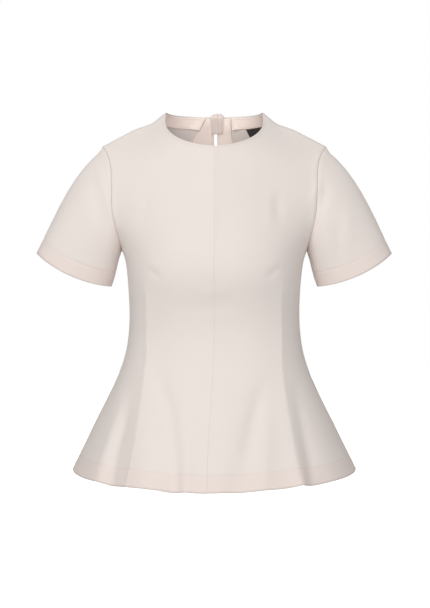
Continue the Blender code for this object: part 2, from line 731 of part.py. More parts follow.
def make_knot(back_skins, cloth):
    """The knot: gathered cloth that wraps the top of the slit from the inside to the outside."""
    shares = np.linspace(0.0, 1.0, 13)
    near = []
    far = []
    legs = np.linspace(KNOT_LEG, KNOT_SHOULDER, 6)
    stations = [(height, math.pi) for height in legs]
    stations += [(None, angle) for angle in np.linspace(1 - KNOT_TURN, KNOT_TURN, 5) * math.pi]
    stations += [(height, 0.0) for height in legs[::-1]]
    for height, angle in stations:
        near_row = []
        far_row = []
        for share in shares:
            across = KNOT_ACROSS + (share - 0.5) * KNOT_WIDTH
            top = KNOT_SHOULDER if height is None else height
            inside = back_depth(back_skins, across, top, True) - KNOT_INSIDE_CLEAR
            outside = back_depth(back_skins, across, top, False) + KNOT_CLEAR
            if height is None:
                half = (outside - inside) / 2
                place = np.array([across, inside + half + half * math.cos(angle), top])
                place[2] += KNOT_ARCH * math.sin(angle)
            else:
                place = np.array([across, inside if angle > 1 else outside, height])
            low = 0.0 if height is None else (KNOT_SHOULDER - height) / (KNOT_SHOULDER - KNOT_LEG)
            full = KNOT_THICK + (KNOT_BODY * math.sin(math.pi * low) if angle == 0.0 else 0.0)
            pleat = KNOT_PLEAT * math.cos(2 * math.pi * KNOT_PLEATS * share)
            round_edge = (1 - abs(2 * share - 1) ** 4) ** 0.5
            thick = KNOT_EDGE + (full + pleat) * round_edge
            near_row.append(place)
            far_row.append(place + np.array([0.0, math.cos(angle), math.sin(angle)]) * thick)
        near.append(near_row)
        far.append(far_row)
    make_wall("tie_knot", np.array(far), np.array(near), cloth)


def make_tie(back_skins, cloth):
    """The knot over the top of the slit, and the two ends that hang from it outside."""
    make_knot(back_skins, cloth)
    for side, hand in ((1, "left"), (-1, "right")):
        near = []
        far = []
        for share in np.linspace(0.0, 1.0, 10):
            height = KNOT_LEG - TIE_END_GAP - share * TIE_END_LENGTH
            middle = KNOT_ACROSS + side * (TIE_END_START[hand] + share * TIE_END_SPREAD)
            near_row = []
            far_row = []
            for place in np.linspace(-0.5, 0.5, 5):
                across = middle + place * TIE_END_WIDTH
                depth = back_depth(back_skins, across, height, False) + TIE_END_CLEAR
                near_row.append((across, depth, height))
                far_row.append((across, depth + TIE_END_THICK * (1 - abs(2 * place) ** 4 * TIE_END_THINNING), height))
            near.append(near_row)
            far.append(far_row)
        make_wall("tie_end_" + hand, np.array(far), np.array(near), cloth)


build()
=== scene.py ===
# %% [markdown]
# # A fitted peplum top in crepe jersey
# A short-sleeved women's top, filled out as if worn, is dressed here for a plain studio picture.
# The imported model already holds its true shape, cut into panels. Each panel's outside is copied,
# smoothed, creased and given back a thin wall, so that it looks like one layer of cloth.

# %% The frame and its box
import math

import bmesh
import bpy
import numpy as np
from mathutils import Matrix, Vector, noise
from mathutils.bvhtree import BVHTree
from mathutils.kdtree import KDTree


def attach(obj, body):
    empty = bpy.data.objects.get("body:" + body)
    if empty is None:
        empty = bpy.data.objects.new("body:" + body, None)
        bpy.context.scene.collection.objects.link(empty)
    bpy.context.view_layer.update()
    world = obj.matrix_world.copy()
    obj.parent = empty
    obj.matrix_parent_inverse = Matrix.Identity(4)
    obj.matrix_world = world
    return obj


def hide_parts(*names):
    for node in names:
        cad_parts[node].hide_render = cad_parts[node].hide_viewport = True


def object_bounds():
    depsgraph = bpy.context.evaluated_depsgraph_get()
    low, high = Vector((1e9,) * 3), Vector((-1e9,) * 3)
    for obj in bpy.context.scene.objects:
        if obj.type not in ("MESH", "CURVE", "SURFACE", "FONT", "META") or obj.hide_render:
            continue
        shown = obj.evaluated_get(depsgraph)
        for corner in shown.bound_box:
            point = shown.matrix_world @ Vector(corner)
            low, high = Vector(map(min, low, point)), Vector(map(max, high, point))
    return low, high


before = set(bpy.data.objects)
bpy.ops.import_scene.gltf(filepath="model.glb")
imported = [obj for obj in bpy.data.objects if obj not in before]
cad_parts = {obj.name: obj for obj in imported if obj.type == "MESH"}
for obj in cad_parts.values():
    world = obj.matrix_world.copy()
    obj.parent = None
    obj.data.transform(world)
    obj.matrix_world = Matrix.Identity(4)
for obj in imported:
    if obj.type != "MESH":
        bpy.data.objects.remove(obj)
cad_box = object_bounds()
MM = 0.001
print("nodes:", sorted(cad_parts))

# %% [markdown]
# ## Camera
# The picture is taken from straight ahead, with the lens a little above the bust, so the hem's
# front hangs lower in the picture than its sides. The frame is 430 by 608 pixels, and a pixel is
# 1.6 mm at the shoulder line, which fixes the lens. The camera is tipped down by three degrees.

# %% Camera
PICTURE_TALL = 608
PIXEL = 1.6 * MM
CAMERA_AWAY = 2.9
CAMERA_HIGH = -0.13
PICTURE_MIDDLE = (0.0011, -0.305)
SENSOR = 36.0

camera_place = Vector((PICTURE_MIDDLE[0], -CAMERA_AWAY, CAMERA_HIGH))
looked_at = Vector((PICTURE_MIDDLE[0], 0.0, PICTURE_MIDDLE[1]))
sight = looked_at - camera_place
frame_tall = PICTURE_TALL * PIXEL
bpy.ops.object.camera_add(location=camera_place, rotation=sight.to_track_quat("-Z", "Y").to_euler())
camera = bpy.context.object
camera.name = "camera"
camera.data.sensor_width = SENSOR
camera.data.lens = SENSOR * sight.length / frame_tall
bpy.context.scene.camera = camera
print(f"lens {camera.data.lens:.1f} mm, frame {frame_tall:.3f} m tall")

# %% [markdown]
# ## Studio
# The picture is high key: a white paper floor below, a white world behind, a large soft light from the
# upper left, and a weaker one from the right that keeps the shadow side from going grey.

# %% Helpers for colours and nodes
def hex_colour(code):
    """An sRGB hex value as the linear colour that Blender's sockets take."""
    parts = [int(code[i : i + 2], 16) / 255 for i in (1, 3, 5)]
    linear = [p / 12.92 if p <= 0.04045 else ((p + 0.055) / 1.055) ** 2.4 for p in parts]
    return (*linear, 1.0)


def add_node(tree, kind, settings=None, inputs=None):
    """A node with its settings; an input takes a value, or another node's output socket."""
    node = tree.nodes.new(kind)
    for name, value in (settings or {}).items():
        setattr(node, name, value)
    for name, value in (inputs or {}).items():
        if isinstance(value, bpy.types.NodeSocket):
            tree.links.new(value, node.inputs[name])
        else:
            node.inputs[name].default_value = value
    return node


def new_material(name):
    """A material whose Principled shader is ready to take values."""
    material = bpy.data.materials.new(name)
    material.use_nodes = True
    return material, material.node_tree, material.node_tree.nodes["Principled BSDF"]


# %% Lights and paper
PAPER_WHITE = "#FFFFFF"
KEY_PLACE, KEY_SIZE, KEY_WATTS = (-1.1, -2.3, 1.5), 1.5, 34.0
FILL_PLACE, FILL_SIZE, FILL_WATTS = (0.45, -3.2, 0.25), 1.8, 38.0
WORLD_LIGHT = 0.42
FLOOR_BELOW = 0.42
LIT_AT = Vector((0.0, 0.0, -0.3))


def soft_light(name, place, size, watts):
    """A square lamp turned to face the garment."""
    bpy.ops.object.light_add(type="AREA", location=place)
    lamp = bpy.context.object
    lamp.name = name
    lamp.data.energy = watts
    lamp.data.size = size
    lamp.rotation_euler = (LIT_AT - lamp.location).to_track_quat("-Z", "Y").to_euler()
    return lamp


soft_light("key_light", KEY_PLACE, KEY_SIZE, KEY_WATTS)
soft_light("fill_light", FILL_PLACE, FILL_SIZE, FILL_WATTS)

world = bpy.data.worlds.new("studio")
world.use_nodes = True
bpy.context.scene.world = world
tree = world.node_tree
tree.nodes.clear()
seen = add_node(tree, "ShaderNodeBackground", inputs={"Color": (1, 1, 1, 1), "Strength": 1.0})
lit = add_node(tree, "ShaderNodeBackground", inputs={"Color": (1, 1, 1, 1), "Strength": WORLD_LIGHT})
rays = add_node(tree, "ShaderNodeLightPath")
both = add_node(tree, "ShaderNodeMixShader", inputs={0: rays.outputs["Is Camera Ray"]})
tree.links.new(lit.outputs[0], both.inputs[1])
tree.links.new(seen.outputs[0], both.inputs[2])
add_node(tree, "ShaderNodeOutputWorld", inputs={"Surface": both.outputs[0]})

paper, tree, shader = new_material("matte_paper")
shader.inputs["Base Color"].default_value = hex_colour(PAPER_WHITE)
shader.inputs["Roughness"].default_value = 0.9
shader.inputs["Emission Color"].default_value = (1, 1, 1, 1)
shader.inputs["Emission Strength"].default_value = 0.9
bpy.ops.mesh.primitive_plane_add(size=12.0, location=(0.0, 0.0, cad_box[0][2] - FLOOR_BELOW))
floor = bpy.context.object
floor.name = "floor"
floor.data.materials.append(paper)
floor.visible_diffuse = False
bpy.context.scene.view_settings.view_transform = "Standard"

# %% [markdown]
# ## From solid to cloth
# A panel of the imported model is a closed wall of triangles. Its outside is what the eye reads as
# cloth. The inside is told apart first: its faces look into the hollow, with the wall's other
# side close behind them. What shares no corner with the inside is the outer skin.

# %% Copying the outer skin of a panel
WALL_LIMIT = 4.5 * MM
WELD = 0.02 * MM
RIM_WIDTH = 2.2 * MM
CORNER_ANGLE = math.radians(142)
YOKE_LEVELS, YOKE_ROUNDS = (-0.215, -0.150), 14
SKIN_LEVELS = 3
PANELS = ("front_left", "front_right", "back_left", "back_right")
SLEEVES = ("sleeve_left", "sleeve_right")


def welded(node):
    """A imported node's mesh with its loose triangles joined up."""
    work = bmesh.new()
    work.from_mesh(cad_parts[node].data)
    bmesh.ops.remove_doubles(work, verts=work.verts, dist=WELD)
    bmesh.ops.recalc_face_normals(work, faces=work.faces)
    return work


def keep_outer_skin(work, inward):
    """Deletes all but the outer skin. inward gives a point in the hollow for a face's middle."""
    tree = BVHTree.FromBMesh(work)
    inner = set()
    for face in work.faces:
        middle = face.calc_center_median()
        hit = tree.ray_cast(middle - face.normal * 0.05 * MM, -face.normal, 0.2)
        outward = (middle - inward(middle)).dot(face.normal)
        shortest = min(edge.calc_length() for edge in face.edges)
        if hit[0] is not None and hit[3] < WALL_LIMIT and outward < 0.0 and shortest > RIM_WIDTH:
            inner.update(face.verts)
    spare = [face for face in work.faces if any(corner in inner for corner in face.verts)]
    bmesh.ops.delete(work, geom=spare, context="FACES")
    return len(work.faces)


def pair_triangles(work):
    """Turns a grid of triangles back into four-sided faces by dissolving its diagonals."""

    def squareness(face):
        return min(abs(corner.calc_angle() - math.pi / 2) for corner in face.loops)

    first = min(work.faces, key=squareness)
    diagonal = {first: max(first.edges, key=lambda edge: edge.calc_length())}
    waiting = [first]
    while waiting:
        face = waiting.pop()
        cut = diagonal[face]
        for edge in face.edges:
            for other in edge.link_faces:
                if other in diagonal:
                    continue
                # Across its own diagonal a triangle shares it. Across a side, the neighbour's
                # diagonal starts at the end of that side which this one's doesn't touch.
                if edge is cut:
                    diagonal[other] = cut
                else:
                    start = next(v for v in edge.verts if v not in cut.verts)
                    diagonal[other] = next(e for e in other.edges if e is not edge and start in e.verts)
                waiting.append(other)
    bmesh.ops.dissolve_edges(work, edges=list(set(diagonal.values())), use_verts=False)
    return sum(len(face.verts) != 4 for face in work.faces)


def relax(work, levels, rounds):
    """Evens out the skin between two heights, from none at the lower one; borders stay."""
    low, full = levels
    for _ in range(rounds):
        moves = []
        for corner in work.verts:
            share = min(max((corner.co.z - low) / (full - low), 0.0), 1.0)
            if share == 0.0 or corner.is_boundary:
                continue
            around = [edge.other_vert(corner).co for edge in corner.link_edges]
            mean = sum(around, Vector()) / len(around)
            moves.append((corner, corner.co.lerp(mean, share * 0.5)))
        for corner, place in moves:
            corner.co = place


def torso_inside(point):
    """A point in the body's hollow, below the level of a place on a panel."""
    return Vector((point.x * 0.35, 0.0, point.z - 0.06))


def sleeve_inside(side):
    """The same for a sleeve: the nearest point of the line down the middle of the arm."""
    top = Vector((side * 0.162, 0.003, -0.138))
    low = Vector((side * 0.226, 0.003, -0.255))
    way = (low - top).normalized()
    return lambda point: top + way * (point - top).dot(way)


def make_active(piece):
    """Selects one object alone."""
    bpy.ops.object.select_all(action="DESELECT")
    piece.select_set(True)
    bpy.context.view_layer.objects.active = piece


def pin_corners(work):
    """Creases the border's corners, so that rounding doesn't cut them off."""
    crease = work.verts.layers.float.new("crease_vert")
    for corner in work.verts:
        sides = [edge.other_vert(corner).co - corner.co for edge in corner.link_edges if edge.is_boundary]
        if len(sides) == 2 and sides[0].angle(sides[1]) < CORNER_ANGLE:
            corner[crease] = 1.0


def rounded_copy(node, levels, work):
    """A new object from edited mesh data, with subdivision applied."""
    mesh = bpy.data.meshes.new("cloth_" + node)
    work.to_mesh(mesh)
    work.free()
    piece = bpy.data.objects.new("cloth_" + node, mesh)
    bpy.context.scene.collection.objects.link(piece)
    make_active(piece)
    modifier = piece.modifiers.new("rounding", "SUBSURF")
    modifier.levels = levels
    modifier.boundary_smooth = "PRESERVE_CORNERS"
    bpy.ops.object.modifier_apply(modifier=modifier.name)
    return piece


# %% The skins of all flat pieces
FACINGS = ("neck_facing_left", "neck_facing_right", "slit_facing_left", "slit_facing_right")
skins = {}
for node in PANELS + SLEEVES + FACINGS + ("label",):
    work = welded(node)
    side = 1 if node.endswith("left") else -1
    kept = keep_outer_skin(work, sleeve_inside(side) if node in SLEEVES else torso_inside)
    odd = pair_triangles(work)
    pin_corners(work)
    if node in PANELS:
        relax(work, YOKE_LEVELS, YOKE_ROUNDS)
    skins[node] = rounded_copy(node, SKIN_LEVELS, work)
    print(node, "skin triangles", kept, "odd faces", odd, "now", len(skins[node].data.polygons))


# %% [markdown]
# ## Seams and edges
# Sewn details follow the borders of the pieces. A border that runs beside another piece's border
# is a seam; a border by itself is a finished edge: the hem, a cuff, the neckline or the slit. Each
# point of the cloth learns its distance from the nearest of each kind.

# %% Distances from seams and edges
SEAM_REACH = 2.2 * MM
CENTRE_REACH = 20.0 * MM
FAR = 0.5


def borders(mesh):
    """Each border edge as a pair of vertex numbers."""
    counts = {}
    for face in mesh.polygons:
        for key in face.edge_keys:
            counts[key] = counts.get(key, 0) + 1
    return [key for key, count in counts.items() if count == 1]


def points_of(mesh):
    """A mesh's vertices as rows of an array."""
    flat = np.empty(len(mesh.vertices) * 3)
    mesh.vertices.foreach_get("co", flat)
    return flat.reshape(-1, 3)


def normals_of(mesh):
    """A mesh's vertex normals as rows of an array."""
    flat = np.empty(len(mesh.vertices) * 3)
    mesh.vertex_normals.foreach_get("vector", flat)
    return flat.reshape(-1, 3)


def search_tree(places):
    """A tree that finds the nearest of some points."""
    tree = KDTree(len(places))
    for number, place in enumerate(places):
        tree.insert(place, number)
    tree.balance()
    return tree


def distances(points, places):
    """How far each point is from the nearest of some places."""
    if not len(places):
        return np.full(len(points), FAR)
    tree = search_tree(places)
    return np.array([tree.find(point)[2] for point in points])


def along_edges(points, edges, steps=4):
    """Points spread along edges."""
    if not edges:
        return np.empty((0, 3))
    pairs = np.array(edges)
    start, end = points[pairs[:, 0]], points[pairs[:, 1]]
    return np.concatenate([start + (end - start) * k / steps for k in range(steps)])


border_edges = {node: borders(skins[node].data) for node in PANELS + SLEEVES}
border_trees = {}
for node in PANELS + SLEEVES:
    points = points_of(skins[node].data)
    rim = sorted({v for edge in border_edges[node] for v in edge})
    border_trees[node] = search_tree(points[rim])

cloth = {}
for node in PANELS + SLEEVES:
    points = points_of(skins[node].data)
    others = [tree for name, tree in border_trees.items() if name != node]
    near = {}
    for v in {v for edge in border_edges[node] for v in edge}:
        near[v] = min(tree.find(points[v])[2] for tree in others) < SEAM_REACH
    seams = [e for e in border_edges[node] if near[e[0]] and near[e[1]]]
    centre = [e for e in seams if abs(points[e[0]][0]) < CENTRE_REACH]
    seams = [e for e in seams if abs(points[e[0]][0]) >= CENTRE_REACH]
    free = [e for e in border_edges[node] if not (near[e[0]] and near[e[1]])]
    low = [e for e in free if points[e[0]][2] < -0.2]
    top = [e for e in free if points[e[0]][2] >= -0.2]
    cloth[node] = {
        "points": points,
        "normals": normals_of(skins[node].data),
        "joined": {v for edge in seams + centre for v in edge},
        "middle": sorted({v for edge in centre for v in edge}),
        "seam": distances(points, along_edges(points, seams)),
        "centre": distances(points, along_edges(points, centre)),
        "hem": distances(points, along_edges(points, low)),
        "neck": distances(points, along_edges(points, top)),
    }
    print(node, "seam edges", len(seams), "hem edges", len(low), "neck edges", len(top))

# %% [markdown]
# ## Creases, placed one by one
# Each row is one soft ridge (a depth above nought) or trough (below). It has its depth and half
# width in millimetres, how much of its length fades in at the start and out at the end, and its
# path as places across and up, seen from the front. X grows to the wearer's left, and heights are
# below the shoulders. No two have the same length, depth or spacing.

# %% The crease tables
FRONT_CREASES = (
    # depth, half width, fade in, fade out, path
    (-2.2, 9.0, 0.45, 0.0, ((118, -400), (128, -445), (139, -500), (147, -540), (150, -590))),
    (-3.2, 12.0, 0.40, 0.35, ((80, -405), (65, -455), (54, -504), (41, -550))),
    (1.0, 9.0, 0.50, 0.0, ((88, -440), (80, -500), (76, -590))),
    (-1.2, 6.0, 0.50, 0.50, ((104, -238), (90, -252), (74, -259))),
    (0.9, 9.0, 0.50, 0.50, ((112, -226), (92, -236), (70, -240))),
    (-1.2, 6.0, 0.50, 0.50, ((-106, -243), (-90, -254), (-78, -262))),
    (0.8, 8.0, 0.50, 0.50, ((-112, -228), (-94, -238), (-74, -244))),
    (2.2, 8.0, 0.45, 0.0, ((-136, -430), (-152, -480), (-172, -543), (-182, -590))),
    (-3.0, 8.0, 0.45, 0.0, ((-126, -430), (-138, -480), (-152, -530), (-160, -590))),
    (-3.4, 11.0, 0.40, 0.0, ((-92, -380), (-83, -419), (-67, -469), (-60, -530), (-60, -590))),
    (1.2, 8.0, 0.50, 0.0, ((-40, -490), (-41, -530), (-43, -590))),
    (-0.9, 8.0, 0.50, 0.35, ((-9, -375), (-12, -430), (-16, -505))),
    (1.0, 8.0, 0.50, 0.0, ((-84, -505), (-85, -550), (-86, -590))),
    (-1.5, 9.0, 0.45, 0.45, ((101, -118), (99, -150), (102, -182))),
    (0.8, 8.0, 0.50, 0.45, ((88, -112), (84, -150), (88, -190))),
    (-1.8, 8.0, 0.40, 0.45, ((178, -100), (174, -125), (168, -150), (158, -172))),
    (1.2, 8.0, 0.45, 0.45, ((166, -96), (160, -125), (150, -158))),
    (-1.7, 9.0, 0.40, 0.30, ((191, -150), (194, -190), (196, -235), (204, -262))),
    (1.0, 10.0, 0.45, 0.35, ((206, -140), (212, -180), (216, -225))),
    (1.7, 7.0, 0.40, 0.40, ((-190, -84), (-172, -120), (-163, -160), (-150, -198))),
    (-1.4, 9.0, 0.45, 0.40, ((-202, -96), (-187, -132), (-178, -170), (-172, -205))),
    (-1.0, 9.0, 0.45, 0.45, ((-103, -112), (-108, -150), (-118, -188))),
    (0.7, 10.0, 0.50, 0.50, ((-60, -268), (-10, -280), (44, -270))),
    (-0.7, 11.0, 0.50, 0.50, ((-74, -294), (-20, -306), (30, -300), (70, -290))),
    (-1.0, 8.0, 0.45, 0.50, ((146, -290), (132, -306), (110, -318))),
    (-0.9, 8.0, 0.45, 0.50, ((-148, -282), (-134, -300), (-116, -312))),
)
BACK_CREASES = (
    (-2.3, 10.0, 0.45, 0.0, ((108, -385), (120, -440), (138, -510), (154, -590))),
    (-2.2, 11.0, 0.40, 0.25, ((58, -395), (50, -450), (38, -510), (32, -575))),
    (-2.1, 10.0, 0.45, 0.0, ((-106, -390), (-122, -452), (-137, -515), (-148, -590))),
    (-1.9, 12.0, 0.40, 0.30, ((-60, -402), (-48, -462), (-42, -520), (-38, -570))),
    (1.2, 8.0, 0.50, 0.0, ((12, -440), (16, -505), (20, -590))),
    (-1.5, 7.0, 0.45, 0.50, ((98, -318), (66, -326), (30, -322))),
    (1.1, 7.0, 0.50, 0.50, ((92, -302), (58, -309), (24, -304))),
    (-1.4, 8.0, 0.45, 0.50, ((-102, -324), (-72, -333), (-36, -330))),
    (1.2, 7.0, 0.50, 0.45, ((-96, -340), (-62, -347), (-28, -342))),
    (-1.6, 9.0, 0.45, 0.45, ((118, -120), (106, -158), (100, -204))),
    (1.1, 9.0, 0.50, 0.45, ((104, -112), (92, -150), (86, -190))),
    (-1.5, 9.0, 0.40, 0.50, ((-121, -124), (-110, -166), (-106, -214))),
    (1.0, 10.0, 0.50, 0.45, ((-104, -118), (-94, -158), (-90, -186))),
    (-1.6, 8.0, 0.40, 0.45, ((182, -98), (174, -132), (162, -168))),
    (1.3, 9.0, 0.40, 0.40, ((202, -118), (200, -160), (204, -212))),
    (-1.5, 8.0, 0.40, 0.40, ((-184, -94), (-176, -130), (-166, -172))),
    (1.2, 9.0, 0.45, 0.40, ((-203, -112), (-196, -158), (-198, -220))),
    (-0.9, 12.0, 0.50, 0.50, ((-70, -66), (-40, -92), (-18, -128))),
    (-1.0, 11.0, 0.50, 0.50, ((66, -60), (42, -88), (20, -122))),
)

# Darts run from a tip below the bust or the shoulder blade down to the hem: the panels were taken
# in there, which leaves a fold line that catches the light.
FRONT_DARTS = (
    # depth, half width, fade in, fade out, path
    (3.4, 12.0, 0.20, 0.0, ((111, -238), (103, -300), (103.5, -391), (110, -452), (121, -515), (137, -590))),
    (3.4, 12.0, 0.20, 0.0, ((-112, -243), (-104, -303), (-104.5, -391), (-111, -445), (-122, -515), (-137, -590))),
)
BACK_DARTS = (
    (2.8, 12.0, 0.22, 0.0, ((98, -205), (99, -300), (103.5, -391), (110, -452), (121, -515), (137, -590))),
    (2.8, 12.0, 0.22, 0.0, ((-99, -198), (-100, -300), (-103.5, -391), (-110, -452), (-121, -515), (-137, -590))),
)


def smoothstep(share):
    """A soft ramp from 0 to 1."""
    share = np.clip(share, 0.0, 1.0)
    return share * share * (3.0 - 2.0 * share)


def path_places(x, z, path):
    """Signed distance from a path, and the share of its length passed, for places in mm."""
    path = np.array(path, dtype=float)
    spans = np.diff(path, axis=0)
    lengths = np.hypot(spans[:, 0], spans[:, 1])
    passed = np.concatenate([[0.0], np.cumsum(lengths)])
    best = np.full(len(x), np.inf)
    signed, share = np.zeros(len(x)), np.zeros(len(x))
    for start, span, length, done in zip(path[:-1], spans, lengths, passed[:-1]):
        dx, dz = x - start[0], z - start[1]
        t = np.clip((dx * span[0] + dz * span[1]) / length**2, 0.0, 1.0)
        away = np.hypot(dx - t * span[0], dz - t * span[1])
        turn = np.sign(span[0] * dz - span[1] * dx)
        closer = away < best
        best = np.where(closer, away, best)
        signed = np.where(closer, away * turn, signed)
        share = np.where(closer, (done + t * length) / passed[-1], share)
    return signed, share


def crease_rise(x, z, table, sharp=False):
    """How far the creases of a table lift the cloth at places in mm; a sharp one has a crest."""
    rise = np.zeros(len(x))
    for depth, half_width, fade_in, fade_out, path in table:
        signed, share = path_places(x, z, path)
        fade = smoothstep(share / fade_in) if fade_in else 1.0
        fade = fade * (smoothstep((1.0 - share) / fade_out) if fade_out else 1.0)
        share_of_width = np.abs(signed) / half_width
        rise += depth * fade * np.exp(-share_of_width if sharp else -(share_of_width**2))
    return rise


# %% [markdown]
# ## One layer of cloth
# The creases move the skin along its normals. Added to them is a faint, wide unevenness, since no
# worn cloth is perfectly fair, and a slight pucker beside each seam, where the thread draws the
# cloth in. At the seams themselves the cloth dips into a shallow groove.

# %% Moving the cloth
WIDE_WAVE, WIDE_WAVE_LIFT = 0.085, 0.9 * MM
PUCKER, PUCKER_LIFT, PUCKER_REACH = 0.011, 0.32 * MM, 7.0 * MM
SEAM_DIP, SEAM_HALF = 0.45 * MM, 2.0 * MM
SEAM_SWELL, SEAM_SWELL_AT, SEAM_SWELL_HALF = 0.30 * MM, 5.5 * MM, 3.0 * MM
CENTRE_RISE, CENTRE_HALF = 0.35 * MM, 4.0 * MM
NECK_ROLL, NECK_ROLL_WIDE = 0.35 * MM, 3.2 * MM
HEM_TURN, CUFF_TURN = 27.0 * MM, 24.0 * MM
HEM_DIP, HEM_DIP_HALF = 0.30 * MM, 2.2 * MM
FACING_SIDE = 2.2


def noise_at(points, size):
    """Smooth noise from -1 to 1 at points, with bumps of about that size."""
    return np.array([noise.noise(Vector(point) / size) for point in points])


def move_cloth(node):
    """The lift of each point of a piece, in metres."""
    data = cloth[node]
    points, normals = data["points"], data["normals"]
    x, z = points[:, 0] / MM, points[:, 2] / MM
    front = smoothstep(-normals[:, 1] * FACING_SIDE)
    back = smoothstep(normals[:, 1] * FACING_SIDE)
    rise = front * crease_rise(x, z, FRONT_CREASES) * MM
    rise += front * crease_rise(x, z, FRONT_DARTS, sharp=True) * MM
    rise += back * crease_rise(x, z, BACK_CREASES) * MM
    rise += back * crease_rise(x, z, BACK_DARTS, sharp=True) * MM
    rise += noise_at(points, WIDE_WAVE) * WIDE_WAVE_LIFT * smoothstep(data["neck"] / 0.05)
    seam = data["seam"]
    rise += noise_at(points, PUCKER) * PUCKER_LIFT * np.exp(-((seam / PUCKER_REACH) ** 2))
    rise -= SEAM_DIP * np.exp(-((seam / SEAM_HALF) ** 2))
    rise += SEAM_SWELL * np.exp(-(((seam - SEAM_SWELL_AT) / SEAM_SWELL_HALF) ** 2))
    rise += CENTRE_RISE * np.exp(-((data["centre"] / CENTRE_HALF) ** 2))
    rise += NECK_ROLL * np.exp(-((data["neck"] / NECK_ROLL_WIDE) ** 2))
    turn = CUFF_TURN if node in SLEEVES else HEM_TURN
    rise -= HEM_DIP * np.exp(-(((data["hem"] - turn) / HEM_DIP_HALF) ** 2))
    return rise


for node in PANELS + SLEEVES:
    rise = move_cloth(node)
    x, z = cloth[node]["points"][:, 0] / MM, cloth[node]["points"][:, 2] / MM
    darts = FRONT_DARTS if node.startswith("front") else BACK_DARTS
    cloth[node]["dart"] = np.min([np.abs(path_places(x, z, dart[4])[0]) for dart in darts], axis=0)
    cloth[node]["points"] = cloth[node]["points"] + cloth[node]["normals"] * rise[:, None]
    print(node, f"lifted {rise.min() / MM:.1f} to {rise.max() / MM:.1f} mm")

# %% [markdown]
# Two borders that are sewn together meet halfway, so that no gap is left between the pieces.

# %% Sewing the borders together
sewn_trees = {}
for node in PANELS + SLEEVES:
    joined = [e for e in border_edges[node] if e[0] in cloth[node]["joined"] and e[1] in cloth[node]["joined"]]
    spread = along_edges(cloth[node]["points"], joined, steps=8)
    sewn_trees[node] = (search_tree(spread), spread)
meeting = {}
for node in PANELS + SLEEVES:
    for v in cloth[node]["joined"]:
        own = cloth[node]["points"][v]
        found = [tree.find(own) for name, (tree, spread) in sewn_trees.items() if name != node]
        nearest = min(found, key=lambda hit: hit[2])
        meeting[node, v] = (own + np.array(nearest[0])) / 2
widest = 0.0
for (node, v), place in meeting.items():
    widest = max(widest, np.linalg.norm(place - cloth[node]["points"][v]))
    cloth[node]["points"][v] = place
print(f"sewn borders moved by up to {widest / MM:.2f} mm")

# %% [markdown]
# ## Giving the cloth its thickness
# The moved skin and a second one just inside it are joined by a rounded rim, a closed shell. The
# hem and the cuffs are turned up inside, so the cloth is double there.

# %% Closed shells
CLOTH = 1.25 * MM
TURN_EXTRA = 1.0 * MM
TURN_STEP = 2.5 * MM
RIM_BULGE = 0.12 * MM


def skin_normals(points, mesh):
    """The normals of moved points, each the mean of its faces' normals."""
    faces = np.array([tuple(face.vertices) for face in mesh.polygons])
    cross = np.cross(points[faces[:, 2]] - points[faces[:, 0]], points[faces[:, 3]] - points[faces[:, 1]])
    total = np.zeros_like(points)
    for corner in range(4):
        np.add.at(total, faces[:, corner], cross)
    return total / np.linalg.norm(total, axis=1, keepdims=True)


def shell(name, mesh, outer, normals, thickness, values, sewn=(), shared=()):
    """A closed piece of cloth on an outer skin, with named numbers kept for its material."""
    count = len(outer)
    inner = outer - normals * thickness[:, None]
    faces = [tuple(face.vertices) for face in mesh.polygons]
    directed = {(a, b) for face in faces for a, b in zip(face, face[1:] + face[:1])}
    rim_edges = [(a, b) for a, b in directed if (b, a) not in directed]
    ring = sorted({v for edge in rim_edges for v in edge})
    place = {v: 2 * count + number for number, v in enumerate(ring)}
    outward = np.zeros((count, 3))
    for a, b in rim_edges:
        side = np.cross(outer[b] - outer[a], normals[a])
        side /= np.linalg.norm(side)
        outward[a] += side
        outward[b] += side
    lengths = np.linalg.norm(outward[ring], axis=1, keepdims=True)
    middle = (outer[ring] + inner[ring]) / 2 + outward[ring] / lengths * RIM_BULGE
    everything = np.concatenate([outer, inner, middle])
    faces += [tuple(v + count for v in reversed(face)) for face in faces]
    for a, b in rim_edges:
        faces.append((b, a, place[a], place[b]))
        faces.append((place[b], place[a], a + count, b + count))
    made = bpy.data.meshes.new(name)
    made.from_pydata(everything.tolist(), [], faces)
    inside = np.zeros(len(faces), dtype=np.int32)
    inside[len(mesh.polygons) : 2 * len(mesh.polygons)] = 1
    made.polygons.foreach_set("material_index", inside)
    for key, row in values.items():
        attribute = made.attributes.new(key, "FLOAT", "POINT")
        full = np.concatenate([row, row, row[ring]])
        attribute.data.foreach_set("value", full.astype(np.float32))
    made.polygons.foreach_set("use_smooth", [True] * len(made.polygons))
    crisp = {tuple(sorted(edge)) for edge in rim_edges if edge[0] in sewn and edge[1] in sewn}
    for edge in made.edges:
        edge.use_edge_sharp = tuple(sorted(edge.vertices)) in crisp
    made.update()
    if shared:
        looks = normals_of(made)
        looks[shared] = normals[shared]
        made.normals_split_custom_set_from_vertices(looks.tolist())
    piece = bpy.data.objects.new(name, made)
    bpy.context.scene.collection.objects.link(piece)
    return piece


for node in PANELS + SLEEVES:
    cloth[node]["normals"] = skin_normals(cloth[node]["points"], skins[node].data)
MIRRORED = {"front_left": "front_right", "back_left": "back_right"}
for one, other in MIRRORED.items():
    for v in cloth[one]["middle"]:
        gaps = np.linalg.norm(cloth[other]["points"][cloth[other]["middle"]] - cloth[one]["points"][v], axis=1)
        twin = cloth[other]["middle"][int(np.argmin(gaps))]
        shared = cloth[one]["normals"][v] + cloth[other]["normals"][twin]
        shared /= np.linalg.norm(shared)
        cloth[one]["normals"][v] = shared
        cloth[other]["normals"][twin] = shared

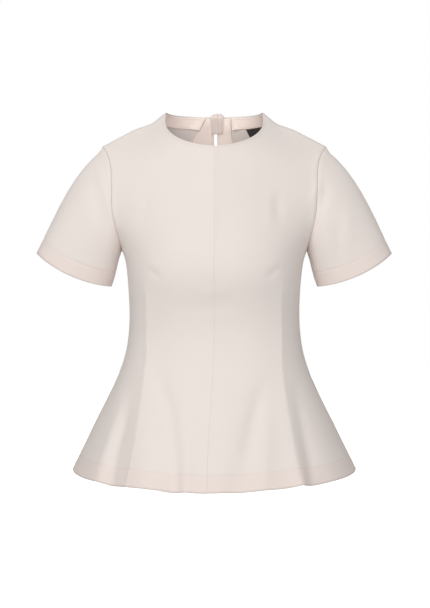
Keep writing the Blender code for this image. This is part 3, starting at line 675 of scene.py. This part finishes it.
pieces = {}
for node in PANELS + SLEEVES:
    data = cloth[node]
    turn = CUFF_TURN if node in SLEEVES else HEM_TURN
    doubled = 1.0 - smoothstep((data["hem"] - turn) / TURN_STEP)
    thickness = CLOTH + TURN_EXTRA * doubled
    values = {
        "seam_mm": data["seam"] / MM,
        "centre_mm": data["centre"] / MM,
        "turn_mm": (data["hem"] - turn) / MM,
        "neck_mm": data["neck"] / MM,
        "dart_mm": np.full(len(thickness), FAR / MM) if node in SLEEVES else data["dart"],
    }
    data["wall"] = np.broadcast_to(thickness, len(data["points"]))
    pieces[node] = shell(node + "_cloth", skins[node].data, data["points"], data["normals"], thickness, values, data["joined"] - set(data["middle"]), data["middle"])
    triangles = sum(len(face.vertices) - 2 for face in pieces[node].data.polygons)
    print(node, "triangles", triangles)

# %% [markdown]
# ## Small pieces
# The facings and the label lie on the inside of the panels. Each of their points moves with the
# panel next to it, and stays clear of that panel's inner face, so that no layer comes through. The
# knot and the hanging ends of the tie are closed solids, rounded whole and given a faint waviness;
# the knot is also gathered: pleats run along it, uneven in depth and spacing.

# %% Facings and label
FACING_CLOTH, LABEL_CLOTH = 0.95 * MM, 0.7 * MM
FACING_WAVE, FACING_WAVE_LIFT = 0.016, 0.22 * MM
STITCHED_IN = 2.2
FOLLOWED, NEAREST, LEAST_GAP = 4, 0.1 * MM, 0.4 * MM

first_places = np.concatenate([points_of(skins[node].data) for node in PANELS])
last_places = np.concatenate([cloth[node]["points"] for node in PANELS])
last_normals = np.concatenate([cloth[node]["normals"] for node in PANELS])
walls = np.concatenate([cloth[node]["wall"] for node in PANELS])
panel_tree = search_tree(first_places)


def follow(points, normals, thick):
    """A layer's points, moved with the panel beside them and kept clear of its inner face."""
    placed = points.copy()
    for number, point in enumerate(points):
        found = panel_tree.find_n(point, FOLLOWED)
        near = [index for _, index, _ in found]
        shares = np.array([1 / (gap + NEAREST) for _, _, gap in found])
        shares /= shares.sum()
        moved = point + shares @ (last_places[near] - first_places[near])
        out = shares @ last_normals[near]
        out /= np.linalg.norm(out)
        least = shares @ walls[near] + LEAST_GAP + (thick if normals[number] @ out < 0 else 0.0)
        depth = (shares @ last_places[near] - moved) @ out
        placed[number] = moved - out * max(0.0, least - depth)
    return placed


for node in FACINGS + ("label",):
    mesh = skins[node].data
    points, normals = points_of(mesh), normals_of(mesh)
    edge = distances(points, along_edges(points, borders(mesh)))
    thick = LABEL_CLOTH if node == "label" else FACING_CLOTH
    lift = noise_at(points, FACING_WAVE) * FACING_WAVE_LIFT
    values = {"edge_mm": edge / MM}
    placed = follow(points + normals * lift[:, None], normals, thick)
    print(node, f"moved up to {np.linalg.norm(placed - points, axis=1).max() / MM:.1f} mm")
    pieces[node] = shell(node + "_cloth", mesh, placed, normals, np.full(len(points), thick), values)
    print(node, "points", len(points))

# %% The tie
TIES = ("tie_knot", "tie_end_left", "tie_end_right")
KNOT_PLEATS = ((0.0, 0.95, 5.2), (1.3, 0.50, 8.7), (0.4, 0.26, 13.1))
TIE_WAVE, TIE_WAVE_LIFT = 0.013, 0.5 * MM
TIE_LEVELS = 2
KNOT_MIDDLE = 0.0047

for node in TIES:
    work = welded(node)
    piece = rounded_copy(node, TIE_LEVELS if node == "tie_knot" else TIE_LEVELS + 1, work)
    piece.name = node + "_cloth"
    points, normals = points_of(piece.data), normals_of(piece.data)
    across = (points[:, 0] - KNOT_MIDDLE) / MM
    lift = noise_at(points, TIE_WAVE) * TIE_WAVE_LIFT
    if node == "tie_knot":
        bend = points[:, 2] / MM * 0.06
        for phase, height, period in KNOT_PLEATS:
            lift += height * MM * np.cos((across + bend) * 2 * math.pi / period + phase) * 0.6
    points = points + normals * lift[:, None]
    piece.data.vertices.foreach_set("co", points.ravel())
    piece.data.polygons.foreach_set("use_smooth", [True] * len(piece.data.polygons))
    piece.data.update()
    pieces[node] = piece
    print(node, "faces", len(piece.data.polygons))

# %% [markdown]
# ## Crepe jersey
# Crepe is knitted from hard-twisted yarn, which kinks back on itself and gives a fine, dry, pebbly
# face with almost no gloss. To the eye the cloth is matte and creamy, a little pinker where it is
# double or where light bounces inside a fold. The pebbles are two layers of noise, about 0.6 and
# 1.8 mm; sewn lines are narrow grooves at their measured distances, darkened with painted shade.

# %% The crepe
PEBBLE_FINE, PEBBLE_WIDE = 0.0006, 0.0018
PEBBLE_FINE_LIFT, PEBBLE_WIDE_LIFT = 0.045, 0.035
TONE_SIZE = 0.045
# Painted light: an emission in this warm tint makes the inner face, the facings and the tie glow, standing in for
# light that comes through the thin jersey.
PAINTED_GLOW_TINT, INSIDE_PAINTED_GLOW, TIE_PAINTED_GLOW = "#FFE6DA", 0.17, 0.11


def line_at(tree, distance, half_width):
    """1 on a line and 0 beyond its half width, from a distance in mm."""
    settings = {"interpolation_type": "SMOOTHSTEP"}
    inputs = {"Value": distance, "From Min": 0.0, "From Max": half_width, "To Min": 1.0, "To Max": 0.0}
    return add_node(tree, "ShaderNodeMapRange", settings, inputs).outputs["Result"]


def kept_value(tree, name):
    """A number kept on the mesh's points."""
    return add_node(tree, "ShaderNodeAttribute", {"attribute_name": name}).outputs["Fac"]


def maths(tree, operation, first, second=0.0):
    """The result of one sum."""
    node = add_node(tree, "ShaderNodeMath", {"operation": operation}, {0: first, 1: second})
    return node.outputs[0]


def crepe_base(name, tone, deeper, painted_glow=0.0):
    """The pebbly cloth, with its colour and its relief ready for sewn lines to be added; its glow is a painted glow,
    an emission standing in for light that comes through the cloth.
    """
    material, tree, shader = new_material(name)
    place = add_node(tree, "ShaderNodeTexCoord").outputs["Object"]
    fine = add_node(tree, "ShaderNodeTexNoise", None, {"Vector": place, "Scale": 1 / PEBBLE_FINE, "Detail": 2.0})
    wide = add_node(tree, "ShaderNodeTexNoise", None, {"Vector": place, "Scale": 1 / PEBBLE_WIDE, "Detail": 1.0})
    slow = add_node(tree, "ShaderNodeTexNoise", None, {"Vector": place, "Scale": 1 / TONE_SIZE, "Detail": 2.0})
    relief = maths(tree, "MULTIPLY", fine.outputs["Fac"], PEBBLE_FINE_LIFT)
    relief = maths(tree, "ADD", relief, maths(tree, "MULTIPLY", wide.outputs["Fac"], PEBBLE_WIDE_LIFT))
    share = maths(tree, "MULTIPLY", slow.outputs["Fac"], 0.35)
    grain = maths(tree, "MULTIPLY", fine.outputs["Fac"], 0.25)
    share = maths(tree, "ADD", share, grain)
    shader.inputs["Roughness"].default_value = 0.88
    shader.inputs["Specular IOR Level"].default_value = 0.25
    shader.inputs["Sheen Weight"].default_value = 0.12
    shader.inputs["Sheen Roughness"].default_value = 0.6
    # Painted glow: this emission stands in for light coming through the cloth; no lamp makes it.
    shader.inputs["Emission Color"].default_value = hex_colour(PAINTED_GLOW_TINT)
    shader.inputs["Emission Strength"].default_value = painted_glow
    colour = add_node(tree, "ShaderNodeMix", {"data_type": "RGBA"}, {0: share})
    colour.inputs[6].default_value = hex_colour(tone)
    colour.inputs[7].default_value = hex_colour(deeper)
    return material, tree, shader, colour.outputs[2], relief


def darker_where(tree, colour, share, shade):
    """A colour turned towards a shade where a share is high."""
    node = add_node(tree, "ShaderNodeMix", {"data_type": "RGBA"}, {0: share, 6: colour})
    node.inputs[7].default_value = hex_colour(shade)
    return node.outputs[2]


def finish_crepe(tree, shader, colour, relief):
    """Joins colour and relief to the shader; relief is in millimetres."""
    bump = add_node(tree, "ShaderNodeBump", None, {"Height": relief, "Distance": MM, "Strength": 0.8})
    tree.links.new(colour, shader.inputs["Base Color"])
    tree.links.new(bump.outputs[0], shader.inputs["Normal"])


CREPE, CREPE_DEEP, CREPE_DOUBLE, CREPE_GROOVE_SHADE = "#E7DED8", "#E3D8D2", "#E6D2CA", "#CFBAB0"
crepe, tree, shader, colour, relief = crepe_base("crepe_jersey", CREPE, CREPE_DEEP)
turn = kept_value(tree, "turn_mm")
double = maths(tree, "MULTIPLY", line_at(tree, turn, 4.0), 0.30)
colour = darker_where(tree, colour, double, CREPE_DOUBLE)
lines = (
    # distance, half width in mm, how deep its groove is in mm, how much painted shade darkens it
    (kept_value(tree, "seam_mm"), 0.9, 0.30, 0.45),
    (kept_value(tree, "centre_mm"), 0.8, 0.20, 0.40),
    (kept_value(tree, "dart_mm"), 0.8, 0.22, 0.35),
    (maths(tree, "ABSOLUTE", turn), 0.7, 0.12, 0.12),
    (maths(tree, "ABSOLUTE", maths(tree, "SUBTRACT", kept_value(tree, "neck_mm"), 3.2)), 0.7, 0.15, 0.20),
)
for distance, half_width, depth, groove_shade in lines:
    line = line_at(tree, distance, half_width)
    relief = maths(tree, "SUBTRACT", relief, maths(tree, "MULTIPLY", line, depth))
    # Painted shade: each sewn line and dart line is darkened in its groove.
    colour = darker_where(tree, colour, maths(tree, "MULTIPLY", line, groove_shade), CREPE_GROOVE_SHADE)
finish_crepe(tree, shader, colour, relief)

# %% [markdown]
# The facings and the tie are the same cloth seen from inside or gathered. The facings' colour is painted
# lighter and slightly warmer than the outside, with a painted glow, so that the inside reads as lit; the
# facings have a row of stitches just inside their edges.

# %% The facing cloth
# Painted light: a lighter tone and a glow make the facings look lit inside the garment.
facing, tree, shader, colour, relief = crepe_base("crepe_facing", "#F2E6DE", "#EBDCD3", INSIDE_PAINTED_GLOW)
edge = kept_value(tree, "edge_mm")
stitched = line_at(tree, maths(tree, "ABSOLUTE", maths(tree, "SUBTRACT", edge, STITCHED_IN)), 0.6)
relief = maths(tree, "SUBTRACT", relief, maths(tree, "MULTIPLY", stitched, 0.2))
colour = darker_where(tree, colour, maths(tree, "MULTIPLY", stitched, 0.5), "#C9AFA2")
finish_crepe(tree, shader, colour, relief)

# %% [markdown]
# The inner face of the panels has the same pebbles. Its colour is painted a little lighter than the outside,
# and it has a faint, warm painted glow, an emission standing in for light coming through thin pale jersey,
# so the inside isn't dark; the facings have the same painted glow.

# %% The inner face
# Painted light: a lighter tone and a glow make the inner face look lit.
lining, tree, shader, colour, relief = crepe_base("crepe_jersey_inside", "#EFE3DB", "#E8D9D0", INSIDE_PAINTED_GLOW)
finish_crepe(tree, shader, colour, relief)

# %% [markdown]
# The tie is folded from the same jersey, several layers thick, so its painted glow, an emission standing in for light
# that comes through, is weaker.

# %% The tie's jersey
tying, tree, shader, colour, relief = crepe_base("crepe_tie_painted_glow", "#E3D8D2", "#D6C7BE", TIE_PAINTED_GLOW)
finish_crepe(tree, shader, colour, relief)

# %% [markdown]
# The label is a strip of black satin, woven so tightly that single threads show only as a fine
# ribbing across it, with a soft gloss.

# %% The label's satin
LABEL_RIB = 0.0004
satin, tree, shader = new_material("black_woven_satin")
place = add_node(tree, "ShaderNodeTexCoord").outputs["Object"]
ribs = add_node(tree, "ShaderNodeTexWave", {"bands_direction": "Z"}, {"Vector": place, "Scale": 1 / LABEL_RIB / 6.3})
tint = add_node(tree, "ShaderNodeMix", {"data_type": "RGBA"}, {0: ribs.outputs["Fac"]})
tint.inputs[6].default_value = hex_colour("#2B2827")
tint.inputs[7].default_value = hex_colour("#383433")
tree.links.new(tint.outputs[2], shader.inputs["Base Color"])
shader.inputs["Roughness"].default_value = 0.55
bump = add_node(tree, "ShaderNodeBump", None, {"Height": ribs.outputs["Fac"], "Distance": 0.03 * MM, "Strength": 1.0})
tree.links.new(bump.outputs[0], shader.inputs["Normal"])

# %% [markdown]
# ## Joining the pieces to the frame
# Each piece stands for its imported node, which is hidden. It takes its material and hangs from
# the frame's root.

# %% Frame and materials
for node, piece in pieces.items():
    if node == "label":
        material, slot = satin, "woven_label"
    elif node in PANELS + SLEEVES:
        material, slot = crepe, "crepe_jersey"
    elif node in TIES:
        material, slot = tying, "crepe_facing"
    else:
        material, slot = facing, "crepe_facing"
    piece.data.materials.clear()
    piece.data.materials.append(material)
    if material is crepe:
        piece.data.materials.append(lining)
    else:
        piece.data.polygons.foreach_set("material_index", [0] * len(piece.data.polygons))
    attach(piece, "root")
    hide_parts(node)
for skin in skins.values():
    bpy.data.objects.remove(skin)
